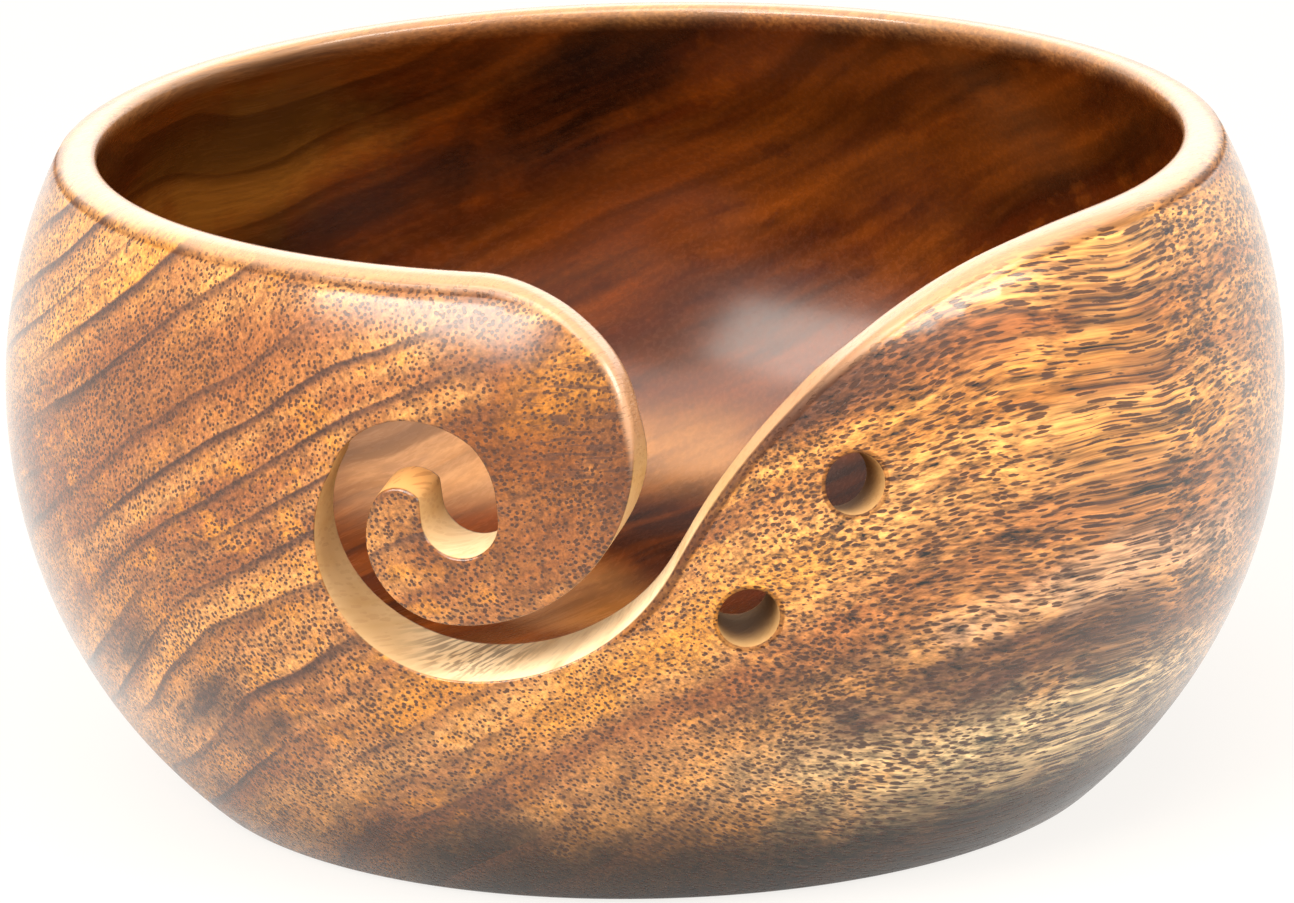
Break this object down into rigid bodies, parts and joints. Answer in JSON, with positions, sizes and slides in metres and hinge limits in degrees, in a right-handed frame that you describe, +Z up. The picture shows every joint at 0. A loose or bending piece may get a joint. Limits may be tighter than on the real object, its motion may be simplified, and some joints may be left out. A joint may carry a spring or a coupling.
{
  "type": "yarn bowl",
  "caption": "Round wooden yarn bowl with incurved wall, scroll-shaped yarn slot cut down from the rim and needle holes, for holding a ball of yarn while it unwinds.",
  "frame": {"origin": "centre of the flat foot, on the surface that the bowl stands on", "axes": "+Z up along the bowl's turning axis; -Y towards the front, where the yarn slot opens"},
  "size_m": [0.152, 0.1519, 0.077],
  "materials": {
    "wood": "satin clear finish over open-pored brown hardwood, bare and paler in the saw cut and the holes"
  },
  "bodies": {
    "root": {"bowl": "wood"}
  },
  "joints": []
}
